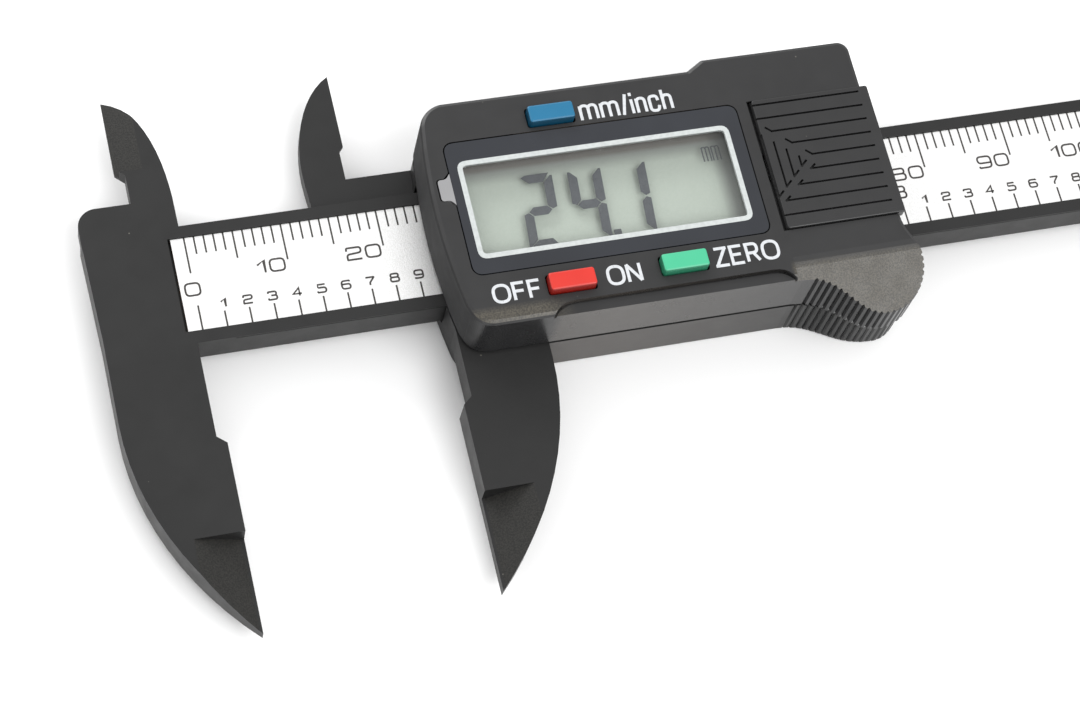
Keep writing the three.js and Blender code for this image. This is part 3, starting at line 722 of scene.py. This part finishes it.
def segment_outlines(size, stroke):
    """The outlines of a display digit's segments about its centre, mitred where they meet.

    a is the top one, b and c are on the right, d at the bottom, e and f on the left, g in the middle."""
    right = size[0] / 2
    top = size[1] / 2
    half = stroke / 2
    gap = 0.07
    cut = half * 0.5
    upper = [(cut - right - half, top + half - cut), (gap - right + half, top - half),
             (right - half - gap, top - half), (right + half - gap - cut, top + half),
             (cut - right, top + half)]
    side = [(right + half, top + half - gap - cut), (right + cut, top + half - gap - cut),
            (right - half, top - half - gap), (right - half, half + gap), (right, gap),
            (right + half, gap + half * 0.4)]
    middle = [(gap - right, 0), (gap - right + half, -half), (right - half - gap, -half),
              (right - gap, 0), (right - half - gap, half), (gap - right + half, half)]

    def mirrored(outline, across, up):
        return [(x * across, y * up) for x, y in outline]

    return {
        "a": upper,
        "b": side,
        "c": mirrored(side, 1, -1),
        "d": mirrored(upper, 1, -1),
        "e": mirrored(side, -1, -1),
        "f": mirrored(side, -1, 1),
        "g": middle,
    }


def draw_digit(mesh, centre, size, stroke, segments, slant, z):
    """Draws the named segments of a display digit that leans by slant."""
    outlines = segment_outlines(size, stroke)
    for name in segments:
        placed = [(centre[0] + x + y * slant, centre[1] + y) for x, y in outlines[name]]
        plate(mesh, placed, z, z + SURFACE)


def add_display():
    border = to_mesh("lens_border", lambda m: ring(
        m, lens_outline(), window_outline(0), LENS.bottom, LENS.top))
    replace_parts(add_piece("lens_border", border, "border", "slider"), "display_lens")
    line = to_mesh("window_line", lambda m: ring(
        m, window_outline(0), window_outline(-LINE["width"]), LENS.top - 0.3, LENS.top + SURFACE))
    add_piece("window_line", line, "window_ink", "slider")
    pane = to_mesh("lens_pane", lambda m: plate(
        m, window_outline(-LINE["width"]), LENS.top - 0.5, LENS.top - 0.03))
    add_piece("lens_pane", pane, "pane", "slider")
    tab = to_mesh("lens_tab", lambda m: plate(m, tab_outline(), LENS.bottom, LENS.top - 0.01))
    add_piece("lens_tab", tab, "tab", "slider")

    cell = to_mesh("lcd_cell", lambda m: plate(
        m, rectangle(LCD.left, LCD.right, LCD.front, LCD.back, 0.1), LCD.bottom, LCD.top - 1.0))
    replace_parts(add_piece("lcd_cell", cell, "display", "slider"), "lcd_panel")
    digit = {"size": (2.6, 7.4), "stroke": 0.98, "slant": 0.07, "z": LCD.top - 0.25}
    level = MIDDLE - 0.12

    def reading(mesh):
        for across, segments in ((8.45, "abged"), (13.65, "fgbc"), (18.45, "bc")):
            draw_digit(mesh, (LCD.left + across, level), segments=segments, **digit)
        point = rectangle(LCD.left + 15.4, LCD.left + 16.2, MIDDLE - 4.2, MIDDLE - 3.4, 0.1)
        plate(mesh, point, digit["z"], digit["z"] + SURFACE)
        draw_text(mesh, "mm", LCD.left + 26.8, LCD.left + 28.8, MIDDLE + 2.7, 2.45, 0.15, digit["z"])

    add_piece("lcd_segments", to_mesh("lcd_segments", reading), "segment", "slider")


# ---------------------------------------------------------------- legends

# Each letter's width and its strokes, as (corner radius, closed, points), where a capital is one
# unit high.
ARCH = (0.2, False, [(0, 0.36), (0.02, 0.72), (0.42, 0.72), (0.42, 0)])
SECOND_ARCH = (0.2, False, [(0.42, 0.36), (0.44, 0.72), (0.84, 0.72), (0.84, 0)])
STEM = (0.0, False, [(0, 0), (0, 0.72)])
TALL_STEM = (0.0, False, [(0, 0), (0, 1)])
ROUND = (0.5, True, [(0, 0), (0.84, 0), (0.84, 1), (0, 1)])
MIDDLE_BAR = (0.0, False, [(0, 0.52), (0.52, 0.52)])
LETTERS = {
    "m": (0.84, [STEM, ARCH, SECOND_ARCH]),
    "/": (0.26, [(0.0, False, [(0, -0.02), (0.26, 1.02)])]),
    "i": (0.0, [STEM, (0.0, False, [(0, 0.9), (0, 1.06)])]),
    "n": (0.42, [STEM, ARCH]),
    "c": (0.44, [(0.34, False, [(0.44, 0.5), (0.4, 0.74), (0, 0.74),
                                (0, -0.01), (0.4, -0.01), (0.46, 0.24)])]),
    "h": (0.42, [TALL_STEM, ARCH]),
    "O": (0.84, [ROUND]),
    "F": (0.58, [TALL_STEM, (0.0, False, [(-0.09, 1), (0.58, 1)]), MIDDLE_BAR]),
    "N": (0.68, [(0.0, False, [(0, 0), (0, 1)]), (0.0, False, [(0, 1), (0.68, 0)]),
                 (0.0, False, [(0.68, 0), (0.68, 1)])]),
    "Z": (0.64, [(0.0, False, [(0.02, 1), (0.7, 1)]), (0.0, False, [(0.62, 1), (0.02, 0)]),
                 (0.0, False, [(-0.06, 0), (0.68, 0)])]),
    "E": (0.6, [TALL_STEM, (0.0, False, [(-0.09, 1), (0.6, 1)]), MIDDLE_BAR,
                (0.0, False, [(-0.09, 0), (0.62, 0)])]),
    "R": (0.62, [TALL_STEM, (0.25, False, [(-0.09, 1), (0.58, 1), (0.58, 0.48), (0, 0.48)]),
                 (0.0, False, [(0.34, 0.48), (0.62, 0)])]),
}
LETTER_GAP = 0.26  # between the middles of neighbouring strokes, where a capital is one unit high


def draw_text(mesh, text, left, right, base, height, stroke, z):
    """Draws text that fills the width from left to right, with capitals of that height."""
    edge = stroke / 2
    level = z
    spread = sum(LETTERS[letter][0] for letter in text) + LETTER_GAP * (len(text) - 1)
    across = (right - left - stroke) / spread
    up = height - stroke
    x = left + edge
    for letter in text:
        width, strokes = LETTERS[letter]
        for radius, closed, points in strokes:
            placed = [(x + px * across, base + edge + py * up) for px, py in points]
            ribbon(mesh, rounded(placed, radius * up, closed, 8), stroke, closed, z, level + SURFACE)
            level += STEP
        x += (width + LETTER_GAP) * across


def add_legends():
    stroke = 0.32
    places = {
        "legend_units": ("mm/inch", UNIT.right + 0.25, UNIT.right + 10.4, MIDDLE + 8.45, 2.6),
        "legend_off": ("OFF", POWER.left - 5.4, POWER.left - 0.25, MIDDLE - 10.4, 2.15),
        "legend_on": ("ON", POWER.right + 0.85, POWER.right + 4.55, MIDDLE - 10.3, 2.25),
        "legend_zero": ("ZERO", ZERO.right + 0.35, ZERO.right + 7.45, MIDDLE - 10.05, 2.25),
    }
    for name, (text, left, right, base, height) in places.items():
        def build(mesh):
            draw_text(mesh, text, left, right, base, height, stroke, FACE)
        add_piece(name, to_mesh(name, build), "white_ink", "slider")


# ---------------------------------------------------------------- put together

add_camera()
add_studio()
finish_nodes()
for name, width in SOFTENED.items():
    soften(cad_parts[name], width)
millimetres = to_mesh("millimetre_scale", millimetre_scale)
add_piece("millimetre_scale", millimetres, "scale_ink", "beam")
add_piece("inch_scale", to_mesh("inch_scale", inch_scale), "scale_ink", "beam")
add_piece("beam_edge_line", to_mesh("beam_edge_line", beam_edge_line), "dark_edge_matte", "beam")
add_display()
add_legends()
